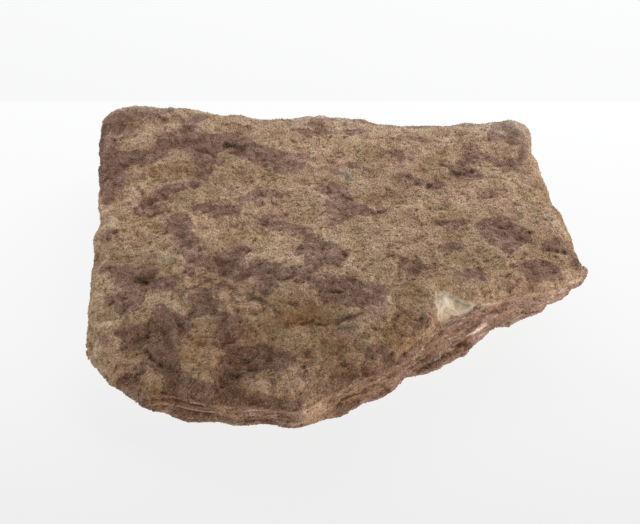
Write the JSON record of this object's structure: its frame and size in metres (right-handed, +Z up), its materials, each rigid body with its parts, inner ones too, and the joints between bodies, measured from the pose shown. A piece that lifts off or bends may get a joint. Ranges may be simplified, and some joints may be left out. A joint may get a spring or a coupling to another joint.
{
  "type": "sandstone hand specimen",
  "caption": "Five-sided flat slab of thin-bedded sandstone with a rough top that falls away at one corner, stepped broken sides and a flat underside to rest on.",
  "frame": {"origin": "middle of the base, at ground level under the middle of the bounding box", "axes": "+X along the long back edge to the right, +Y from the front to the back, +Z up through the thickness of the slab"},
  "size_m": [0.1194, 0.1004, 0.0196],
  "materials": {
    "sandstone": "rough, sandy grain"
  },
  "bodies": {
    "root": {"sandstone": "sandstone"}
  },
  "joints": []
}
